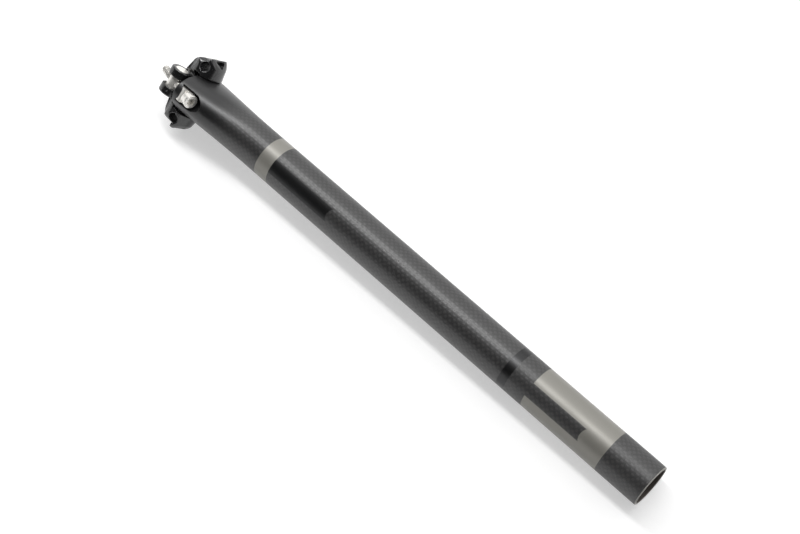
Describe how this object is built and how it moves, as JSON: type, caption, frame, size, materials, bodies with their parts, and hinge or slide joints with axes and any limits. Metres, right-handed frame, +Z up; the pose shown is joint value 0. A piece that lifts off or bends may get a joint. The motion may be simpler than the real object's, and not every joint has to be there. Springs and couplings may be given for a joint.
{
  "type": "bicycle seatpost",
  "caption": "Straight hollow carbon seatpost with a flared head and a two-bolt tilting saddle rail clamp, lying at rest.",
  "frame": {"origin": "bottom centre of the bounding box of the seatpost lying at rest on a flat surface", "axes": "+X along the post towards its head, in the plane of the surface; +Z up from the surface; +Y to the left of +X"},
  "size_m": [0.4462, 0.0584, 0.0474],
  "materials": {
    "carbon": "satin black carbon fibre, with taupe colour bands near both ends",
    "clamp_black": "black anodised, satin",
    "steel": "bright plated steel",
    "washer_silver": "plain silver",
    "nut_silver": "plain silver, turned"
  },
  "bodies": {
    "post": {"post": "carbon"},
    "clamp": {"lower_cradle": "clamp_black", "upper_clamp": "clamp_black"},
    "front_bolt": {"front_bolt": "steel", "front_washer": "washer_silver"},
    "front_nut": {"front_nut": "nut_silver"},
    "rear_bolt": {"rear_bolt": "steel", "rear_washer": "washer_silver"},
    "rear_nut": {"rear_nut": "nut_silver"}
  },
  "joints": [
    {"name": "clamp_tilt", "type": "hinge", "parent": "post", "child": "clamp", "pos_m": [0.19457, -0.00016, 0.02325], "axis": [-0.0104, -0.8393, 0.5435], "range_deg": [-8, 8]},
    {"name": "front_bolt_swing", "type": "hinge", "parent": "post", "child": "front_bolt", "pos_m": [0.18494, -0.01006, 0.00777], "axis": [-0.0104, -0.8393, 0.5435], "range_deg": [-2.28, 2.28]},
    {"name": "front_nut_turn", "type": "hinge", "parent": "clamp", "child": "front_nut", "pos_m": [0.20328, -0.00775, 0.0117], "axis": [-0.0104, -0.8393, 0.5435], "range_deg": [-6.12, 6.12]},
    {"name": "rear_bolt_swing", "type": "hinge", "parent": "post", "child": "rear_bolt", "pos_m": [0.18833, 0.01065, 0.03982], "axis": [-0.0104, -0.8393, 0.5435], "range_deg": [-2.28, 2.28]},
    {"name": "rear_nut_turn", "type": "hinge", "parent": "clamp", "child": "rear_nut", "pos_m": [0.20558, 0.00631, 0.03345], "axis": [-0.0104, -0.8393, 0.5435], "range_deg": [-6.12, 6.12]}
  ],
  "couplings": [
    {"joint": "front_bolt_swing", "follows": "clamp_tilt", "ratio": 0.27134},
    {"joint": "front_nut_turn", "follows": "clamp_tilt", "ratio": -0.72866},
    {"joint": "rear_bolt_swing", "follows": "clamp_tilt", "ratio": 0.27134},
    {"joint": "rear_nut_turn", "follows": "clamp_tilt", "ratio": -0.72866}
  ]
}
